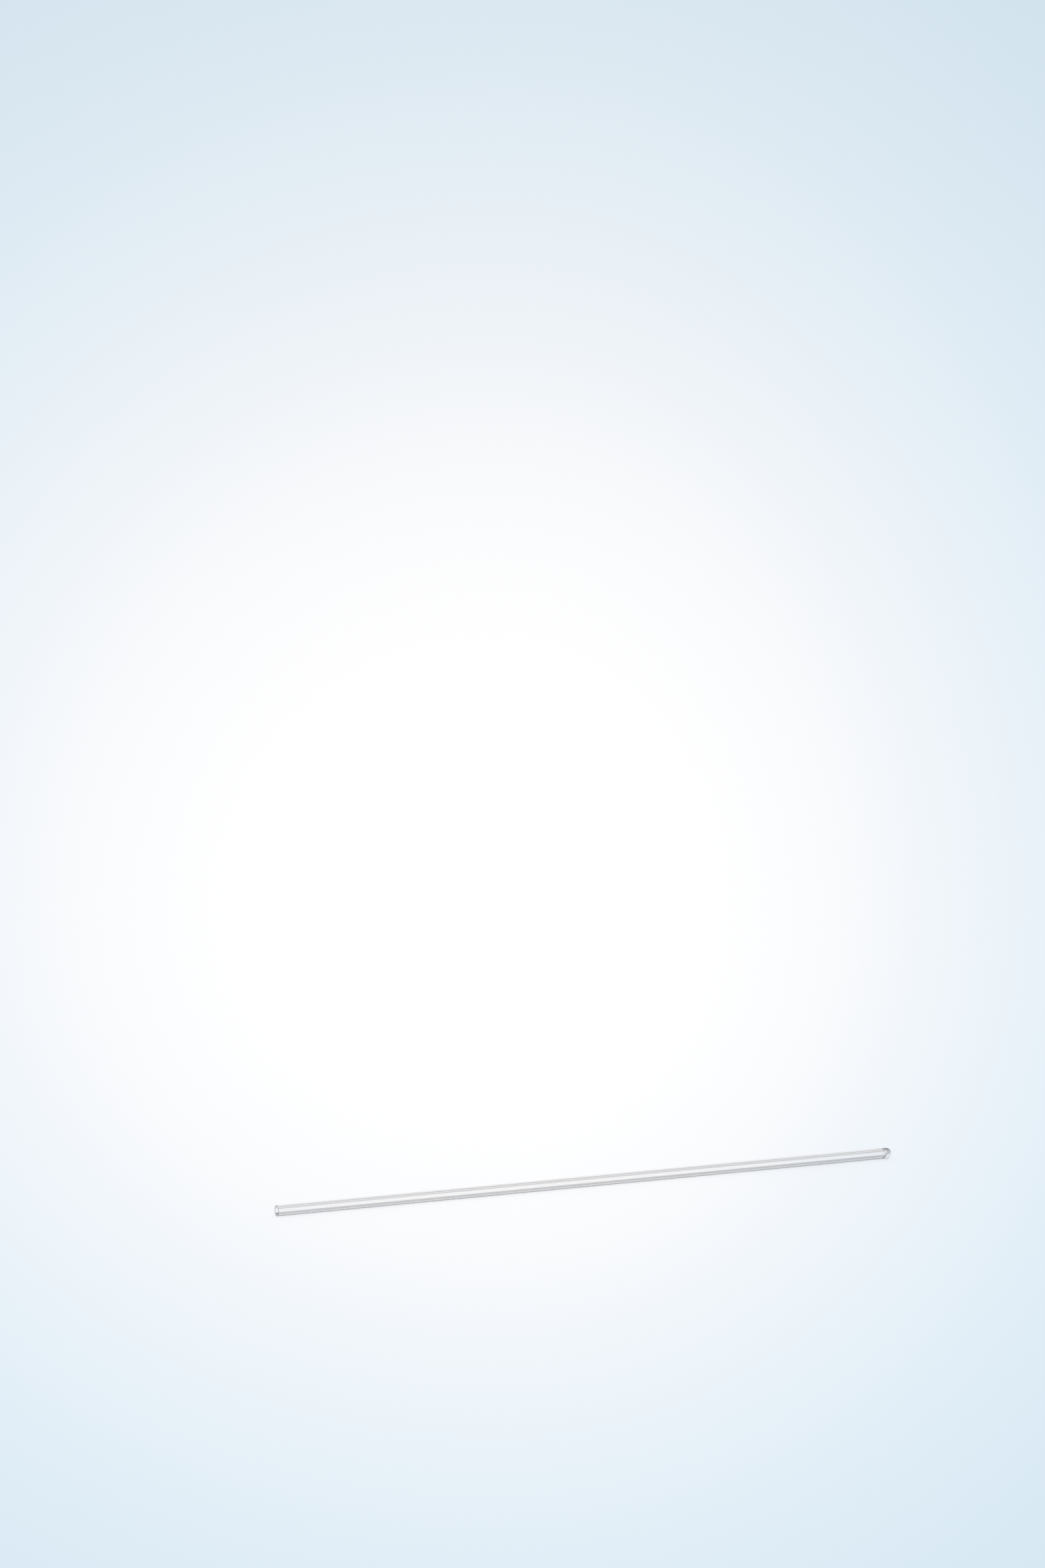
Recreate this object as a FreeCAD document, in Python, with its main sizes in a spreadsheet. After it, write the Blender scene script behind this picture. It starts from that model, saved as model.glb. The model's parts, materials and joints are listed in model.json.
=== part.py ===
import FreeCAD, Part
import os
from math import pi

import Sketcher

# Melting point capillary tube: one length of thin drawn glass, cut square and open at
# one end, melted shut to a round tip at the other. Sizes are in millimetres.
#
# The tube lies on its side as it would on a bench. Its axis runs along X at the height
# of its own radius, with the open mouth at -X and the sealed tip at +X. The origin is
# under the middle of its length, on the surface that it lies on.

NODE = "capillary_tube"

# Each size is a cell of the sheet: its alias, its value and what it measures.
SIZES = (
    ("overall_length", 80.0, "from the mouth to the tip of the seal"),
    ("outer_diameter", 1.35, "across the outside of the drawn tube"),
    ("wall_thickness", 0.20, "drawn wall, which leaves a bore 0.95 across"),
    ("seal_thickness", 0.60, "solid glass between the end of the bore and the tip"),
    ("gather_length", 0.80, "last stretch of the bore, where the melted wall draws in"),
    ("bore_end_radius", 0.28, "round end of the bore, a bubble in the melted glass"),
    ("rim_round", 0.04, "flame-softened edges of the mouth, inside and out"),
)
# A softened edge may take this share of the wall, so that two of them leave a flat rim.
ROUND_SHARE_OF_WALL = 0.45

QUARTER_TURN = pi / 2
FULL_TURN_DEGREES = 360.0

# Constraints name a point of a line or an arc, and the sketch's own axis and origin, by number.
START, END, CENTRE = 1, 2, 3
SKETCH_AXIS = -1
SKETCH_ORIGIN = (SKETCH_AXIS, START)


def make_sheet(doc):
    """The sheet, with one named cell for each driving size."""
    sheet = doc.addObject("Spreadsheet::Sheet", "Sizes")
    for row, (alias, value, meaning) in enumerate(SIZES, start=1):
        sheet.set(f"A{row}", alias)
        sheet.set(f"B{row}", str(value))
        sheet.set(f"C{row}", meaning)
        sheet.setAlias(f"B{row}", alias)
    doc.recompute()
    return sheet


def section_sketch(body, name):
    """An empty sketch for half a section: X runs along the tube, Y outwards from its axis."""
    sketch = body.newObject("Sketcher::SketchObject", name)
    plane = next(f for f in body.Origin.OriginFeatures if f.Role == "XY_Plane")
    sketch.AttachmentSupport = [(plane, "")]
    sketch.MapMode = "FlatFace"
    return sketch


def line(x_start, y_start, x_end, y_end):
    """A straight edge of a section."""
    return Part.LineSegment(FreeCAD.Vector(x_start, y_start, 0), FreeCAD.Vector(x_end, y_end, 0))


def arc(x_centre, y_centre, radius, angle_start, angle_end):
    """A round edge of a section, anticlockwise between two angles in radians."""
    circle = Part.Circle(FreeCAD.Vector(x_centre, y_centre, 0), FreeCAD.Vector(0, 0, 1), radius)
    return Part.ArcOfCircle(circle, angle_start, angle_end)


def close_section(sketch, face, wall, dome, axis):
    """The rules that both sections share: the flat face stands at the mouth, the wall runs
    along the tube, and the rounded end meets the axis squarely."""
    sketch.addConstraint(
        [
            Sketcher.Constraint("Coincident", face, START, *SKETCH_ORIGIN),
            Sketcher.Constraint("Vertical", face),
            Sketcher.Constraint("Coincident", face, END, wall, START),
            Sketcher.Constraint("Horizontal", wall),
            Sketcher.Constraint("PointOnObject", dome, CENTRE, SKETCH_AXIS),
            Sketcher.Constraint("PointOnObject", dome, START, SKETCH_AXIS),
            Sketcher.Constraint("Coincident", dome, START, axis, START),
            Sketcher.Constraint("Coincident", axis, END, face, START),
        ]
    )


def dimension(sketch, name, formula, *rule):
    """Adds a measured constraint under a name, and binds it to the sheet by a formula."""
    index = sketch.addConstraint(Sketcher.Constraint(*rule))
    sketch.renameConstraint(index, name)
    sketch.setExpression(f"Constraints.{name}", formula)


def draw_outside(sketch, sheet):
    """Half a section of the glass with no bore: a straight side and a dome as wide as the
    tube. The sheet's values start each edge where the constraints then hold it."""
    length = sheet.overall_length
    radius = sheet.outer_diameter / 2
    shoulder = length - radius
    face, wall, dome, axis = sketch.addGeometry(
        [
            line(0, 0, 0, radius),
            line(0, radius, shoulder, radius),
            arc(shoulder, 0, radius, 0, QUARTER_TURN),
            line(length, 0, 0, 0),
        ]
    )
    close_section(sketch, face, wall, dome, axis)
    sketch.addConstraint(Sketcher.Constraint("Tangent", wall, END, dome, END))
    dimension(sketch, "length", "Sizes.overall_length", "Distance", axis, length)
    dimension(sketch, "radius", "Sizes.outer_diameter / 2", "Distance", face, radius)


def draw_bore(sketch, sheet):
    """Half a section of the bore: a straight side, a long curve where the melted wall
    gathers inwards, and a small round end. The gathering curve has no size of its own: it
    leaves the straight side and runs into the round end without a corner."""
    length = sheet.overall_length - sheet.seal_thickness
    radius = sheet.outer_diameter / 2 - sheet.wall_thickness
    gather = sheet.gather_length
    end_radius = sheet.bore_end_radius
    shoulder = length - gather
    face, wall, curve, dome, axis = sketch.addGeometry(
        [
            line(0, 0, 0, radius),
            line(0, radius, shoulder, radius),
            arc(shoulder, radius - gather, gather, QUARTER_TURN / 2, QUARTER_TURN),
            arc(length - end_radius, 0, end_radius, 0, QUARTER_TURN / 2),
            line(length, 0, 0, 0),
        ]
    )
    close_section(sketch, face, wall, dome, axis)
    sketch.addConstraint(
        [
            Sketcher.Constraint("Tangent", wall, END, curve, END),
            Sketcher.Constraint("Tangent", curve, START, dome, END),
        ]
    )
    dimension(
        sketch, "length", "Sizes.overall_length - Sizes.seal_thickness", "Distance", axis, length
    )
    dimension(
        sketch, "radius", "Sizes.outer_diameter / 2 - Sizes.wall_thickness", "Distance", face, radius
    )
    dimension(sketch, "gather", "Sizes.gather_length", "DistanceX", wall, END, dome, START, gather)
    dimension(sketch, "end_radius", "Sizes.bore_end_radius", "Radius", dome, end_radius)


def turn(body, kind, name, sketch):
    """Sweeps half a section once round the tube's axis, to add glass or to hollow it."""
    feature = body.newObject(kind, name)
    feature.Profile = sketch
    feature.ReferenceAxis = (sketch, ["H_Axis"])
    feature.Angle = FULL_TURN_DEGREES
    sketch.Visibility = False
    return feature


def soften_rim(body, hollow):
    """Rounds the two circles where the flat rim of the mouth meets the walls."""
    flat = next(f for f in hollow.Shape.Faces if f.Surface.TypeId == "Part::GeomPlane")
    names = [
        f"Edge{number}"
        for number, edge in enumerate(hollow.Shape.Edges, start=1)
        if any(edge.isSame(own) for own in flat.Edges)
    ]
    rim = body.newObject("PartDesign::Fillet", "SoftenedRim")
    rim.Base = (hollow, names)
    limit = f"Sizes.wall_thickness * {ROUND_SHARE_OF_WALL}"
    rim.setExpression("Radius", f"min(Sizes.rim_round; {limit})")


def make_tube(doc, sheet):
    """The glass tube as one body: a round-ended rod, its bore and its softened rim."""
    body = doc.addObject("PartDesign::Body", "CapillaryTube")
    body.Label = NODE

    outside = section_sketch(body, "OutsideSection")
    draw_outside(outside, sheet)
    turn(body, "PartDesign::Revolution", "SealedRod", outside)

    inside = section_sketch(body, "BoreSection")
    draw_bore(inside, sheet)
    bore = turn(body, "PartDesign::Groove", "Bore", inside)
    doc.recompute()

    soften_rim(body, bore)
    body.setExpression(".Placement.Base.x", "-Sizes.overall_length / 2")
    body.setExpression(".Placement.Base.z", "Sizes.outer_diameter / 2")
    doc.recompute()
    return body


def check(doc, bodies):
    """Stops the build if an object failed, or a body is not one closed and valid solid."""
    failed = [o.Name for o in doc.Objects if {"Invalid", "Error"} & set(o.State)]
    if failed:
        raise RuntimeError(f"these objects failed: {failed}")
    for body in bodies:
        shape = body.Shape
        if shape.isNull() or not shape.isValid() or len(shape.Solids) != 1:
            raise RuntimeError(f"{body.Label} is not one valid solid")


def main():
    """Builds the document, and writes one file for each sub-part."""
    doc = FreeCAD.newDocument("MeltingPointTube")
    sheet = make_sheet(doc)
    bodies = [make_tube(doc, sheet)]
    check(doc, bodies)
    os.makedirs("parts", exist_ok=True)
    for body in bodies:
        body.Shape.exportStep(f"parts/{body.Label}.step")
        print(body.Label, f"{body.Shape.Volume:.4f} mm3", body.Shape.BoundBox)


main()
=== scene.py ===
import json
import logging
import math
from dataclasses import dataclass
from enum import Enum
from typing import Any, Iterator

import bpy
from mathutils import Matrix, Vector


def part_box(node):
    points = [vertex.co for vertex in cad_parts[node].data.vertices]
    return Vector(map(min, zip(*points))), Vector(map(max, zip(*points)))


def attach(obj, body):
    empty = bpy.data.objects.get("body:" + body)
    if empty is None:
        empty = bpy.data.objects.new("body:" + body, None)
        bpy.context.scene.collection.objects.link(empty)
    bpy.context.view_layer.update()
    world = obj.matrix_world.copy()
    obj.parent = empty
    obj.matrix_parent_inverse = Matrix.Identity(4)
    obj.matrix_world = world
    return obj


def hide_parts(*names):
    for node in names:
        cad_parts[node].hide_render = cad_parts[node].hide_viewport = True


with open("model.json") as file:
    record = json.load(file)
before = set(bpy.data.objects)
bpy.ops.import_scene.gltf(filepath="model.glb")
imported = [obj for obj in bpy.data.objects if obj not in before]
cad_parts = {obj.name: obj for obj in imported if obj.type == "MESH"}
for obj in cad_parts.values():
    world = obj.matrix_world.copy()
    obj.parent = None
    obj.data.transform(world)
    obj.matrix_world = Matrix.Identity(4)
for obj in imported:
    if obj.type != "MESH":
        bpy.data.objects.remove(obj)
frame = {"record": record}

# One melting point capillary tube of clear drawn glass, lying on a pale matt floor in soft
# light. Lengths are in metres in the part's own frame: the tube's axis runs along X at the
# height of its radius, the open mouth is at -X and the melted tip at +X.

log = logging.getLogger("capillary_tube")

NODE = "capillary_tube"
PIECE = "capillary_tube_glass"
BODY = "root"
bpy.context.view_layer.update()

MM = 0.001
QUARTER_TURN = math.pi / 2
FULL_TURN = math.tau
NOISE_MIDDLE = 0.5

# How often light crosses the tube's surface on its way: twice where it keeps to solid glass,
# and more often where it also passes the bore, so that three or more count as the bore.
SOLID_CROSSINGS = 2
BORE_CROSSINGS = 3

Colour = tuple[float, float, float, float]


class Blend(Enum):
    """How two colours go together."""

    MIX = "MIX"
    MULTIPLY = "MULTIPLY"


class Tree:
    """A node tree, and the one way in which this script adds a node to it."""

    # The Mix node has several sockets of one name, so those for colours go by their place.
    MIX_SHARE, MIX_FIRST, MIX_SECOND = "input_0", "input_6", "input_7"
    MIX_RESULT = 2

    def __init__(self, graph: bpy.types.NodeTree) -> None:
        """Keeps the tree.

        Args:
            graph: Blender's node tree to add to.
        """
        self.graph = graph

    def add(
        self, kind: str, settings: dict[str, Any] | None = None, **values: Any
    ) -> bpy.types.Node:
        """Adds a node, with its settings made before its sockets are filled.

        Args:
            kind: the node's type name in Blender.
            settings: properties of the node, such as a Math node's operation.
            values: what each input gets, by its name with _ for a space: a value, a socket
                or a Number. A name such as input_0 picks an input by its place.

        Returns:
            The new node.
        """
        node = self.graph.nodes.new(kind)
        for name, value in (settings or {}).items():
            setattr(node, name, value)
        for name, value in values.items():
            self.fill(self.find(node, name), value)
        return node

    def find(self, node: bpy.types.Node, name: str) -> bpy.types.NodeSocket:
        """The input that a keyword stands for.

        Args:
            node: the node whose inputs are searched.
            name: the input's name with _ for a space, or input_ and its place.

        Returns:
            The input socket.
        """
        if name.startswith("input_"):
            return node.inputs[int(name.removeprefix("input_"))]
        return node.inputs[name.replace("_", " ")]

    def fill(self, socket: bpy.types.NodeSocket, value: Any) -> None:
        """Links or sets one input.

        Args:
            socket: the input to fill.
            value: a Number, an output socket or a plain value.
        """
        if isinstance(value, Number):
            value = value.socket
        if isinstance(value, bpy.types.NodeSocket):
            self.graph.links.new(value, socket)
        else:
            socket.default_value = value

    def number(self, node: bpy.types.Node, output: str | int = 0) -> "Number":
        """A node's output as a Number, by the output's name or place."""
        return Number(self, node.outputs[output])

    def blend(
        self, share: "Number", first: Any, second: Any, way: Blend = Blend.MIX
    ) -> bpy.types.NodeSocket:
        """Puts two colours together.

        Args:
            share: how far the second colour counts.
            first: the first colour, as a value or a socket.
            second: the second colour.
            way: how they go together.

        Returns:
            The colour, as a socket.
        """
        settings = {"data_type": "RGBA", "blend_type": way.value}
        values = {self.MIX_SHARE: share, self.MIX_FIRST: first, self.MIX_SECOND: second}
        return self.add("ShaderNodeMix", settings, **values).outputs[self.MIX_RESULT]


class Number:
    """A number in a node tree, which Python's operators add Math nodes to."""

    def __init__(self, tree: Tree, socket: bpy.types.NodeSocket) -> None:
        """Keeps the output socket that gives the number.

        Args:
            tree: the tree that the socket belongs to.
            socket: the output socket.
        """
        self.tree = tree
        self.socket = socket

    def math(self, operation: str, first: Any, second: Any = None) -> "Number":
        """Adds one Math node.

        Args:
            operation: the node's operation.
            first: its first value, a Number or a float.
            second: its second value, or None where it has one value.

        Returns:
            The node's result.
        """
        values = {"input_0": first}
        if second is not None:
            values["input_1"] = second
        node = self.tree.add("ShaderNodeMath", {"operation": operation}, **values)
        return self.tree.number(node)

    def __add__(self, other: Any) -> "Number":
        """The sum."""
        return self.math("ADD", self, other)

    __radd__ = __add__

    def __sub__(self, other: Any) -> "Number":
        """The difference."""
        return self.math("SUBTRACT", self, other)

    def __rsub__(self, other: Any) -> "Number":
        """The difference the other way round."""
        return self.math("SUBTRACT", other, self)

    def __mul__(self, other: Any) -> "Number":
        """The product."""
        return self.math("MULTIPLY", self, other)

    __rmul__ = __mul__

    def __truediv__(self, other: Any) -> "Number":
        """The quotient."""
        return self.math("DIVIDE", self, other)

    def __rtruediv__(self, other: Any) -> "Number":
        """The quotient the other way round."""
        return self.math("DIVIDE", other, self)

    def root(self) -> "Number":
        """The square root."""
        return self.math("SQRT", self)

    def greater(self, other: Any) -> "Number":
        """The greater of two numbers."""
        return self.math("MAXIMUM", self, other)

    def step(self, low: float, high: float) -> "Number":
        """Rises smoothly from 0 at low to 1 at high.

        Args:
            low: where the rise begins.
            high: where it ends, which may lie below low for a fall.

        Returns:
            A number from 0 to 1.
        """
        settings = {"interpolation_type": "SMOOTHSTEP"}
        span = {"From_Min": low, "From_Max": high}
        node = self.tree.add("ShaderNodeMapRange", settings, Value=self, **span)
        return self.tree.number(node)


def new_material(name: str) -> tuple[bpy.types.Material, Tree, bpy.types.Node]:
    """An empty node material.

    Args:
        name: the material's name.

    Returns:
        The material, its tree and its output node.
    """
    material = bpy.data.materials.new(name)
    material.use_nodes = True
    material.node_tree.nodes.clear()
    tree = Tree(material.node_tree)
    return material, tree, tree.add("ShaderNodeOutputMaterial")


def in_the_wall(tree: Tree, ray: bpy.types.Node) -> Number:
    """Tells light that the glass threw back, or that met no bore, from light through the bore.

    Args:
        tree: the tree that asks.
        ray: its Light Path node.

    Returns:
        1 for light that kept to the glass, 0 for light through the bore.
    """
    thrown_back = tree.number(ray, "Glossy Depth").step(0, 1)
    crossings = tree.number(ray, "Transmission Depth")
    return thrown_back.greater(crossings.step(BORE_CROSSINGS, SOLID_CROSSINGS))


@dataclass(frozen=True)
class DrawnGlass:
    """Clear glass drawn from the melt: even and bright, with faint lines along the draw, a
    slow unevenness, and a rim that the cut has left a little frosted. Light that the glass
    has thrown back most_bounces times passes straight on, so that none is lost inside."""

    index: float = 1.49
    tint: Colour = (0.978, 0.975, 0.972, 1.0)
    smooth_roughness: float = 0.003
    line_pitch: float = 0.05 * MM
    line_length: float = 30.0 * MM
    line_height: float = 0.00004 * MM
    line_roughness: float = 0.010
    wave_length: float = 2.2 * MM
    wave_height: float = 0.0016 * MM
    frost_depth: float = 0.10 * MM
    frost_tint: Colour = (0.40, 0.45, 0.47, 1.0)
    frost_roughness: float = 0.40
    frost_least: float = 0.6
    frost_grain: float = 0.8
    passed_light: Colour = (0.955, 0.96, 0.965, 1.0)
    most_bounces: float = 3.0

    def material(self, mouth: float) -> bpy.types.Material:
        """Makes the glass.

        Args:
            mouth: the x of the cut mouth.

        Returns:
            The material.
        """
        material, tree, output = new_material("DrawnClearGlass")
        place = tree.add("ShaderNodeTexCoord").outputs["Object"]
        lines = self.draw_lines(tree, place)
        frost = self.frost(tree, place, mouth)
        lined = self.smooth_roughness + lines * self.line_roughness
        glass = tree.add(
            "ShaderNodeBsdfPrincipled",
            Base_Color=tree.blend(frost, self.tint, self.frost_tint),
            IOR=self.index,
            Transmission_Weight=1.0,
            Roughness=lined + frost * self.frost_roughness,
            Normal=self.relief(tree, place, lines),
        )
        passed = tree.add("ShaderNodeBsdfTransparent", Color=self.passed_light)
        mix = tree.add(
            "ShaderNodeMixShader",
            Fac=self.passes_straight(tree),
            input_1=glass.outputs[0],
            input_2=passed.outputs[0],
        )
        tree.fill(output.inputs["Surface"], mix.outputs[0])
        return material

    def passes_straight(self, tree: Tree) -> Number:
        """Picks the light that the glass doesn't bend: shadow and diffuse rays, so that the
        tube throws no black shadow, and light that it has thrown back too often.

        Args:
            tree: the material's tree.

        Returns:
            1 for light that passes straight on, 0 for light that the glass bends.
        """
        ray = tree.add("ShaderNodeLightPath")
        lighting = tree.number(ray, "Is Shadow Ray").greater(tree.number(ray, "Is Diffuse Ray"))
        bounces = tree.number(ray, "Glossy Depth")
        return lighting.greater(bounces.step(self.most_bounces - 1, self.most_bounces))

    def draw_lines(self, tree: Tree, place: bpy.types.NodeSocket) -> Number:
        """Faint lines along the tube: noise stretched along X.

        Args:
            tree: the material's tree.
            place: the point on the piece.

        Returns:
            A number from 0 to 1.
        """
        stretch = (1 / self.line_length, 1 / self.line_pitch, 1 / self.line_pitch)
        mapped = tree.add("ShaderNodeMapping", Vector=place, Scale=stretch)
        noise = tree.add("ShaderNodeTexNoise", Vector=mapped.outputs[0], Scale=1.0, Detail=2.0)
        return tree.number(noise, "Fac")

    def frost(self, tree: Tree, place: bpy.types.NodeSocket, mouth: float) -> Number:
        """How far the cut has frosted the glass: fully on the rim, not at all past its rounding.

        Args:
            tree: the material's tree.
            place: the point on the piece.
            mouth: the x of the cut.

        Returns:
            A number from 0 to about 1.
        """
        along = tree.number(tree.add("ShaderNodeSeparateXYZ", Vector=place), "X")
        grain = tree.add("ShaderNodeTexNoise", Vector=place, Scale=1 / self.line_pitch)
        fade = along.step(mouth + self.frost_depth, mouth)
        return fade * (self.frost_least + tree.number(grain, "Fac") * self.frost_grain)

    def relief(
        self, tree: Tree, place: bpy.types.NodeSocket, lines: Number
    ) -> bpy.types.NodeSocket:
        """The unevenness that bends light: the draw lines, and slow waves along the tube.

        Args:
            tree: the material's tree.
            place: the point on the piece.
            lines: the draw lines.

        Returns:
            The normal.
        """
        scale = 1 / self.wave_length
        wave = tree.add("ShaderNodeTexNoise", Vector=place, Scale=scale, Detail=1.0)
        height = lines * self.line_height + tree.number(wave, "Fac") * self.wave_height
        bump = tree.add("ShaderNodeBump", Height=height, Distance=1.0, Strength=1.0)
        return bump.outputs[0]


@dataclass
class TubeSection:
    """Half a section of the tube: x along the tube, r outwards from its axis."""

    mouth: float
    tip: float
    outer_radius: float
    bore_radius: float
    seal_thickness: float = 0.60 * MM
    gather_length: float = 0.80 * MM
    bore_end_radius: float = 0.28 * MM
    rim_round: float = 0.04 * MM
    station: float = 0.5 * MM
    dome_steps: int = 28
    bend_steps: int = 16
    rim_steps: int = 6

    def arc(
        self, x: float, r: float, radius: float, start: float, end: float, steps: int
    ) -> Iterator[Vector]:
        """Points on a round stretch.

        Args:
            x: the centre's place along the tube.
            r: the centre's distance from the axis.
            radius: the stretch's radius.
            start: the first angle, in radians from +X towards the outside.
            end: the last angle.
            steps: how many parts the stretch is cut into.

        Yields:
            Each point, both ends among them.
        """
        for i in range(steps + 1):
            angle = start + (end - start) * i / steps
            yield Vector((x + radius * math.cos(angle), 0, r + radius * math.sin(angle)))

    def run(self, start: float, end: float, r: float) -> Iterator[Vector]:
        """Points between the two ends of a straight wall, which stay out.

        Args:
            start: where the wall begins.
            end: where it ends.
            r: its distance from the axis.

        Yields:
            Each point, a station apart.
        """
        steps = round(abs(end - start) / self.station)
        for i in range(1, steps):
            yield Vector((start + (end - start) * i / steps, 0, r))

    def outside(self) -> list[Vector]:
        """From the pole of the tip over the dome and along the outer wall to the mouth."""
        shoulder = self.tip - self.outer_radius
        lip = self.mouth + self.rim_round
        edge = self.outer_radius - self.rim_round
        return [
            *self.arc(shoulder, 0, self.outer_radius, 0, QUARTER_TURN, self.dome_steps),
            *self.run(shoulder, lip, self.outer_radius),
            *self.arc(lip, edge, self.rim_round, QUARTER_TURN, math.pi, self.rim_steps),
        ]

    def inside(self) -> list[Vector]:
        """From the mouth along the bore to the pole of its round end, with the long curve
        where the wall gathers in, which meets the straight bore and the round end smoothly."""
        lip = self.mouth + self.rim_round
        edge = self.bore_radius + self.rim_round
        end = self.tip - self.seal_thickness
        shoulder = end - self.gather_length
        reach = self.gather_length - self.bore_end_radius
        spare = self.bore_radius - self.bore_end_radius
        bend = (reach**2 + self.bore_radius**2 - self.bore_end_radius**2) / (2 * spare)
        turn = math.atan2(bend - self.bore_radius, reach)
        below = self.bore_radius - bend
        centre = end - self.bore_end_radius
        return [
            *self.arc(lip, edge, self.rim_round, math.pi, 3 * QUARTER_TURN, self.rim_steps),
            *self.run(lip, shoulder, self.bore_radius),
            *self.arc(shoulder, below, bend, QUARTER_TURN, turn, self.bend_steps),
            *list(self.arc(centre, 0, self.bore_end_radius, turn, 0, self.bend_steps))[1:],
        ]

    def outline(self) -> list[Vector]:
        """The whole line, from the pole of the tip to the pole of the bore."""
        return self.outside() + self.inside()


class TurnedForm:
    """A Geometry Nodes tree that turns a section about the tube's axis into a closed wall,
    uneven by as much as drawn glass is."""

    SECTION = "Section"
    FACETS = "Facets"
    HEIGHT = "Axis Height"
    UNEVEN = "Unevenness"
    SWELL = "Swell Length"
    WELD = "Weld Distance"
    FINISH = "Finish"
    ASKED = {
        SECTION: "NodeSocketGeometry",
        FACETS: "NodeSocketInt",
        HEIGHT: "NodeSocketFloat",
        UNEVEN: "NodeSocketFloat",
        SWELL: "NodeSocketFloat",
        WELD: "NodeSocketFloat",
        FINISH: "NodeSocketMaterial",
    }

    def __init__(self) -> None:
        """Builds the tree."""
        self.group = bpy.data.node_groups.new("TurnedForm", "GeometryNodeTree")
        sockets = self.group.interface
        for name, kind in self.ASKED.items():
            sockets.new_socket(name, in_out="INPUT", socket_type=kind)
        sockets.new_socket("Wall", in_out="OUTPUT", socket_type="NodeSocketGeometry")
        self.tree = Tree(self.group)
        self.given = self.tree.add("NodeGroupInput").outputs
        self.build()

    def build(self) -> None:
        """Lays a grid with a row for each point of the section and a column for each turn,
        moves each point to its place, and welds the seam and the two poles shut."""
        tree, given = self.tree, self.given
        size = tree.add("GeometryNodeAttributeDomainSize", Geometry=given[self.SECTION])
        points = tree.number(size, "Point Count")
        facets = Number(tree, given[self.FACETS])
        grid = tree.add(
            "GeometryNodeMeshGrid",
            Size_X=points - 1,
            Size_Y=facets,
            Vertices_X=points,
            Vertices_Y=facets + 1,
        )
        corner = tree.add("GeometryNodeInputPosition").outputs[0]
        cell = tree.add("ShaderNodeSeparateXYZ", Vector=corner)
        row = tree.number(cell, "X") + (points - 1) / 2
        column = tree.number(cell, "Y") + facets / 2
        turned = tree.add(
            "ShaderNodeVectorRotate",
            {"rotation_type": "X_AXIS"},
            Vector=self.section_point(row),
            Angle=column / facets * FULL_TURN,
        )
        lift = tree.add("ShaderNodeCombineXYZ", Z=given[self.HEIGHT])
        place = tree.add(
            "ShaderNodeVectorMath",
            {"operation": "ADD"},
            input_0=turned.outputs[0],
            input_1=lift.outputs[0],
        )
        wall = grid.outputs["Mesh"]
        for kind, values in (
            ("GeometryNodeSetPosition", {"Position": place.outputs[0]}),
            ("GeometryNodeMergeByDistance", {"Distance": given[self.WELD]}),
            ("GeometryNodeSetShadeSmooth", {}),
            ("GeometryNodeRealizeInstances", {}),
            ("GeometryNodeSetMaterial", {"Material": given[self.FINISH]}),
        ):
            wall = tree.add(kind, Geometry=wall, **values).outputs[0]
        tree.add("NodeGroupOutput", Wall=wall)

    def section_point(self, row: Number) -> bpy.types.NodeSocket:
        """The point of the section for a row of the grid, moved in or out by the swell.

        Args:
            row: the row's number.

        Returns:
            The point, as a vector socket.
        """
        tree, given = self.tree, self.given
        found = tree.add(
            "GeometryNodeSampleIndex",
            {"data_type": "FLOAT_VECTOR", "domain": "POINT"},
            Geometry=given[self.SECTION],
            Value=tree.add("GeometryNodeInputPosition").outputs[0],
            Index=row,
        )
        parts = tree.add("ShaderNodeSeparateXYZ", Vector=found.outputs[0])
        along = tree.number(parts, "X")
        noise = tree.add(
            "ShaderNodeTexNoise",
            {"noise_dimensions": "1D"},
            W=along / Number(tree, given[self.SWELL]),
            Scale=1.0,
            Detail=1.0,
        )
        swell = (tree.number(noise, "Fac") - NOISE_MIDDLE) * Number(tree, given[self.UNEVEN])
        radius = tree.number(parts, "Z") * (1 + swell)
        return tree.add("ShaderNodeCombineXYZ", X=along, Z=radius).outputs[0]

    def turn(self, piece: bpy.types.Object, inputs: dict[str, Any]) -> None:
        """Runs the tree on a section, and leaves its object with the wall as a plain mesh
        and no modifier.

        Args:
            piece: the object that holds the section.
            inputs: the value of each named input.
        """
        modifier = piece.modifiers.new("Turn", "NODES")
        modifier.node_group = self.group
        for item in self.group.interface.items_tree:
            if item.item_type == "SOCKET" and item.name in inputs:
                modifier[item.identifier] = inputs[item.name]
        evaluated = piece.evaluated_get(bpy.context.evaluated_depsgraph_get())
        wall = bpy.data.meshes.new_from_object(evaluated)
        while wall.materials[0] is None:
            wall.materials.pop(index=0)
        piece.modifiers.remove(modifier)
        section = piece.data
        piece.data = wall
        bpy.data.meshes.remove(section)


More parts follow.
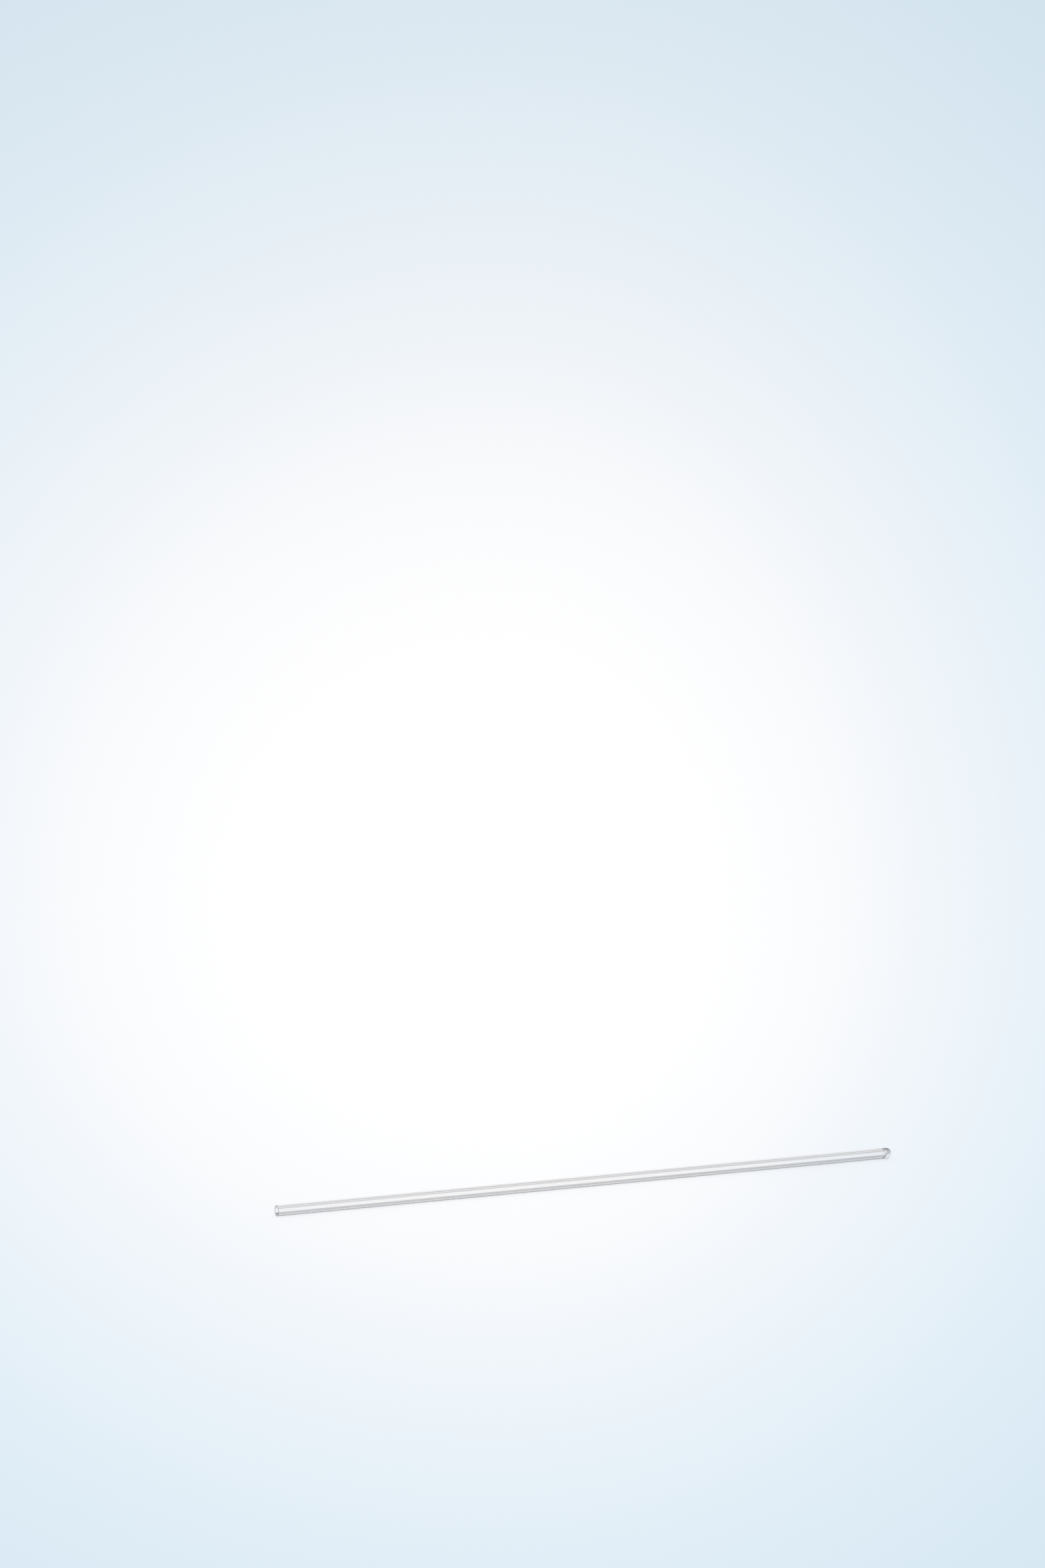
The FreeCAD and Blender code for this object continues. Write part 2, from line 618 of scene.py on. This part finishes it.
@dataclass
class CapillaryTube:
    """The tube: one wall of glass, open at the mouth and closed at the tip."""

    glass: DrawnGlass
    facets: int = 96
    unevenness: float = 0.012
    swell_length: float = 9.0 * MM
    weld_distance: float = 0.0001 * MM

    def section(self) -> TubeSection:
        """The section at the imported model's own size: its length and width from the box of
        its node, and its bore from its bore mount."""
        low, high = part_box(NODE)
        bore = next(m for m in frame["record"]["mounts"] if m["kind"] == "bore")
        return TubeSection(low.x, high.x, (high.z - low.z) / 2, bore["dims"]["r_mm"] * MM)

    def build(self) -> bpy.types.Object:
        """Makes the tube as one closed mesh.

        Returns:
            The piece, undeclared.
        """
        section = self.section()
        points = section.outline()
        mesh = bpy.data.meshes.new(PIECE)
        mesh.from_pydata(points, [(i, i + 1) for i in range(len(points) - 1)], [])
        piece = bpy.data.objects.new(PIECE, mesh)
        bpy.context.scene.collection.objects.link(piece)
        inputs = {
            TurnedForm.FACETS: self.facets,
            TurnedForm.HEIGHT: section.outer_radius,
            TurnedForm.UNEVEN: self.unevenness,
            TurnedForm.SWELL: self.swell_length,
            TurnedForm.WELD: self.weld_distance,
            TurnedForm.FINISH: self.glass.material(section.mouth),
        }
        TurnedForm().turn(piece, inputs)
        log.info("%s: %d faces", piece.name, len(piece.data.polygons))
        return piece

    def declare(self, piece: bpy.types.Object) -> None:
        """Says what the piece rides on, and hides the imported part that it stands for."""
        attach(piece, BODY)
        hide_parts(NODE)


@dataclass(frozen=True)
class PhotoCamera:
    """A long lens that looks down on the tube, and holds the tube's middle at one pixel of
    the picture. Azimuth 0 looks along +Y, and a negative one brings the mouth nearer."""

    picture_width: float = 1568.0
    picture_height: float = 2352.0
    middle_x: float = 882.0
    middle_y: float = 1772.1
    lens_mm: float = 200.0
    sensor_mm: float = 36.0
    azimuth: float = math.radians(-21.767)
    elevation: float = math.radians(14.0)
    distance: float = 1054.6 * MM
    clip_start: float = 52.73 * MM

    def place(self, target: Vector) -> Vector:
        """Where the camera stands to see the target from its azimuth and elevation."""
        flat = math.cos(self.elevation)
        side, back = math.sin(self.azimuth) * flat, -math.cos(self.azimuth) * flat
        return target + Vector((side, back, math.sin(self.elevation))) * self.distance

    def aim(self, sight: Vector) -> Matrix:
        """Turns the camera, level from side to side, until a line of sight meets its pixel.

        Args:
            sight: the line from the camera to the target.

        Returns:
            The camera's rotation.
        """
        focal = self.lens_mm / self.sensor_mm * self.picture_height
        across = (self.middle_x - self.picture_width / 2) / focal
        down = (self.middle_y - self.picture_height / 2) / focal
        slant = math.sqrt(1 + across**2 + down**2)
        fall = -sight.normalized().z * slant
        pitch = math.asin(fall / math.sqrt(1 + down**2)) - math.atan(down)
        ahead = math.cos(pitch) - down * math.sin(pitch)
        heading = math.atan2(-sight.x, sight.y) + math.atan2(across, ahead)
        tilt = Matrix.Rotation(QUARTER_TURN - pitch, 4, "X")
        return Matrix.Rotation(heading, 4, "Z") @ tilt

    def make(self, target: Vector) -> None:
        """Creates the scene's camera.

        Args:
            target: the middle of the tube.
        """
        data = bpy.data.cameras.new("PhotoCamera")
        data.lens = self.lens_mm
        data.sensor_width = self.sensor_mm
        data.clip_start = self.clip_start
        camera = bpy.data.objects.new("PhotoCamera", data)
        bpy.context.scene.collection.objects.link(camera)
        place = self.place(target)
        camera.matrix_world = Matrix.Translation(place) @ self.aim(target - place)
        bpy.context.scene.camera = camera
        log.info("camera: %.0f mm from the tube's middle", (target - place).length / MM)


@dataclass(frozen=True)
class PaleFloor:
    """A matt floor of pale blue with a soft painted glow of white light on it. The glow is long,
    because a low view foreshortens it, and its sides are counted in tangents as an eye in front
    sees them.

    Glass shows the floor with painted shade close to the line that the tube touches, which
    stands in for the light that the tube scatters there; the eye sees no such shade. Light that
    kept to the glass shows that painted shade much darker, but for a painted light stripe on
    each side of the line, which draws the dark edges of a clear tube from any side. Beside the
    tip the painted shade is wider, standing in for the solid dome bending light further aside.
    Light through the bore shows the floor a little darker, in a painted band of shade that
    begins just off the line, and again far beyond. All these widths are counted outwards from
    the line, but tip_from and tip_full along the tube."""

    radius: float = 3.0
    corners: int = 128
    heading: float = math.radians(-21.331)
    eye_side: float = -0.0077
    eye_back: float = 1.0201
    eye_height: float = 0.2550
    painted_pool_side: float = -0.0035
    painted_pool_drop: float = 0.2153
    left: float = 0.0900
    right: float = 0.0744
    near: float = 0.0786
    far: float = 0.0985
    # painted light: a white glow in the middle of the floor, fading out to its pale blue
    stops: tuple[tuple[float, Colour], ...] = (
        (0.00, (1.000, 1.000, 1.000, 1.0)),
        (0.30, (1.000, 1.000, 1.000, 1.0)),
        (0.52, (0.948, 0.956, 0.973, 1.0)),
        (0.68, (0.885, 0.915, 0.950, 1.0)),
        (1.00, (0.745, 0.847, 0.922, 1.0)),
        (1.35, (0.665, 0.790, 0.880, 1.0)),
    )
    # painted shade: the grey that the floor seen through the glass is darkened towards
    painted_shade_colour: Colour = (0.33, 0.32, 0.325, 1.0)
    painted_shade_fade: float = 1.1 * MM
    painted_shade_end: float = 1.6 * MM
    stripe_from: float = 0.08 * MM
    stripe_full: float = 0.14 * MM
    stripe_fade: float = 0.42 * MM
    stripe_end: float = 0.50 * MM
    stripe_light: float = 0.70
    tip_from: float = 38.0 * MM
    tip_full: float = 39.5 * MM
    tip_fade: float = 5.0 * MM
    tip_end: float = 6.0 * MM
    tip_share: float = 0.62
    band_from: float = 0.12 * MM
    band_full: float = 0.35 * MM
    band_share: float = 0.46
    beyond_from: float = 5.0 * MM
    beyond_full: float = 8.0 * MM
    beyond_share: float = 0.36

    def material(self) -> bpy.types.Material:
        """Makes the floor's finish."""
        material, tree, output = new_material("PaleFloor")
        place = tree.add("ShaderNodeTexCoord").outputs["Object"]
        # painted light: the floor's colour holds a painted glow of white light
        painted_shade_share, painted_light_pool = self.painted_shade_share(tree, place), self.painted_light_pool(tree, place)
        # painted shade: only light that the glass bends or throws back sees the floor darkened
        colour = tree.blend(painted_shade_share, painted_light_pool, self.painted_shade_colour, Blend.MULTIPLY)
        matt = tree.add("ShaderNodeBsdfDiffuse", Color=colour)
        tree.fill(output.inputs["Surface"], matt.outputs[0])
        return material

    def painted_light_pool(self, tree: Tree, place: bpy.types.NodeSocket) -> bpy.types.NodeSocket:
        """The painted glow of white light on the floor's pale blue.

        Args:
            tree: the material's tree.
            place: the point on the floor.

        Returns:
            The colour, as a socket.
        """
        turned = tree.add(
            "ShaderNodeVectorRotate",
            {"rotation_type": "Z_AXIS"},
            Vector=place,
            Angle=-self.heading,
        )
        parts = tree.add("ShaderNodeSeparateXYZ", Vector=turned.outputs[0])
        reach = (tree.number(parts, "Y") + self.eye_back).greater(self.eye_height)
        side = (tree.number(parts, "X") - self.eye_side) / reach - self.painted_pool_side
        drop = self.eye_height / reach - self.painted_pool_drop
        across = (side / self.right).greater(side / -self.left)
        along = (drop / self.near).greater(drop / -self.far)
        out = (across * across + along * along).root()
        last = self.stops[-1][0]
        ramp = tree.add("ShaderNodeValToRGB", Fac=out / last)
        ramp.color_ramp.interpolation = "B_SPLINE"
        stops = ramp.color_ramp.elements
        for i, (at, colour) in enumerate(self.stops):
            stop = stops[i] if i < len(stops) else stops.new(1.0)
            stop.position = at / last
            stop.color = colour
        return ramp.outputs["Color"]

    def painted_shade_share(self, tree: Tree, place: bpy.types.NodeSocket) -> Number:
        """How much painted shade darkens the floor that the tube's glass shows.

        Args:
            tree: the material's tree.
            place: the point on the floor.

        Returns:
            A number from 0 to 1.
        """
        parts = tree.add("ShaderNodeSeparateXYZ", Vector=place)
        along, aside = tree.number(parts, "X"), tree.number(parts, "Y")
        away = aside.greater(aside * -1)
        # painted shade by the line the tube touches, painted light stripes beside it, wider
        # painted shade by the tip, and painted bands of shade for light through the bore
        close = away.step(self.painted_shade_end, self.painted_shade_fade)
        stripe = away.step(self.stripe_from, self.stripe_full)
        stripe = stripe * away.step(self.stripe_end, self.stripe_fade) * self.stripe_light
        tip = away.step(self.painted_shade_fade, self.painted_shade_end)
        tip = tip * away.step(self.tip_end, self.tip_fade)
        tip = tip * along.step(self.tip_from, self.tip_full) * self.tip_share
        band = close * away.step(self.band_from, self.band_full) * self.band_share
        beyond = away.step(self.beyond_from, self.beyond_full) * self.beyond_share
        wall, bore = close - stripe + tip, band + beyond
        ray = tree.add("ShaderNodeLightPath")
        bent = tree.number(ray, "Is Transmission Ray").greater(tree.number(ray, "Is Glossy Ray"))
        return (bore + (wall - bore) * in_the_wall(tree, ray)) * bent

    def make(self) -> None:
        """Lays the floor at the height that the tube lies on."""
        turns = [FULL_TURN * i / self.corners for i in range(self.corners)]
        ring = [(self.radius * math.cos(t), self.radius * math.sin(t), 0) for t in turns]
        mesh = bpy.data.meshes.new("floor")
        mesh.from_pydata(ring, [], [tuple(range(self.corners))])
        mesh.materials.append(self.material())
        floor = bpy.data.objects.new("floor", mesh)
        bpy.context.scene.collection.objects.link(floor)


@dataclass(frozen=True)
class SoftStudio:
    """Even light from all round and a wide soft lamp above. The eye sees a pale room. Glass
    shows it
    with painted shade: bright through the bore and grey through the wall, and darker high up,
    which is what draws a clear tube's dark lines. High is the sine of the angle above the floor."""

    even: Colour = (0.95, 0.95, 0.95, 1.0)
    pale: Colour = (0.80, 0.87, 0.93, 1.0)
    # painted shade: the room as only glass shows it
    bore_grey: Colour = (0.95, 0.955, 0.97, 1.0)
    low_grey: Colour = (0.83, 0.835, 0.85, 1.0)
    high_grey: Colour = (0.14, 0.145, 0.155, 1.0)
    high_from: float = 0.5
    high_full: float = 0.8
    lamp_size: float = 0.9
    lamp_height: float = 1.1
    lamp_power: float = 0.9

    def world(self) -> None:
        """Makes the world."""
        world = bpy.data.worlds.new("SoftStudio")
        world.use_nodes = True
        world.node_tree.nodes.clear()
        tree = Tree(world.node_tree)
        sight = tree.add("ShaderNodeTexCoord").outputs["Generated"]
        up = tree.number(tree.add("ShaderNodeSeparateXYZ", Vector=sight), "Z")
        ray = tree.add("ShaderNodeLightPath")
        bent = tree.number(ray, "Is Glossy Ray").greater(tree.number(ray, "Is Transmission Ray"))
        # painted shade: glass sees the room grey through its wall and darker high up, but the
        # eye sees it pale
        high = up.step(self.high_from, self.high_full)
        painted_room_shade = tree.blend(high, self.low_grey, self.high_grey)
        room = tree.blend(in_the_wall(tree, ray), self.bore_grey, painted_room_shade)
        seen = tree.blend(tree.number(ray, "Is Camera Ray"), self.even, self.pale)
        colour = tree.blend(bent, seen, room)
        background = tree.add("ShaderNodeBackground", Color=colour, Strength=1.0)
        tree.add("ShaderNodeOutputWorld", Surface=background.outputs[0])
        bpy.context.scene.world = world

    def lamp(self) -> None:
        """Hangs the lamp over the tube."""
        data = bpy.data.lights.new("SoftLamp", "AREA")
        data.shape = "DISK"
        data.size = self.lamp_size
        data.energy = self.lamp_power
        lamp = bpy.data.objects.new("SoftLamp", data)
        lamp.location = (0, 0, self.lamp_height)
        bpy.context.scene.collection.objects.link(lamp)

    def make(self) -> None:
        """Sets the world, the lamp and the plain view of colour."""
        self.world()
        self.lamp()
        bpy.context.scene.view_settings.view_transform = "Standard"


def main() -> None:
    """Builds the tube, then the floor, the light and the camera round it."""
    logging.basicConfig(level=logging.INFO, format="%(name)s %(message)s")
    tube = CapillaryTube(DrawnGlass())
    tube.declare(tube.build())
    low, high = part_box(NODE)
    PaleFloor().make()
    SoftStudio().make()
    PhotoCamera().make((low + high) / 2)


if __name__ == "__main__":
    main()
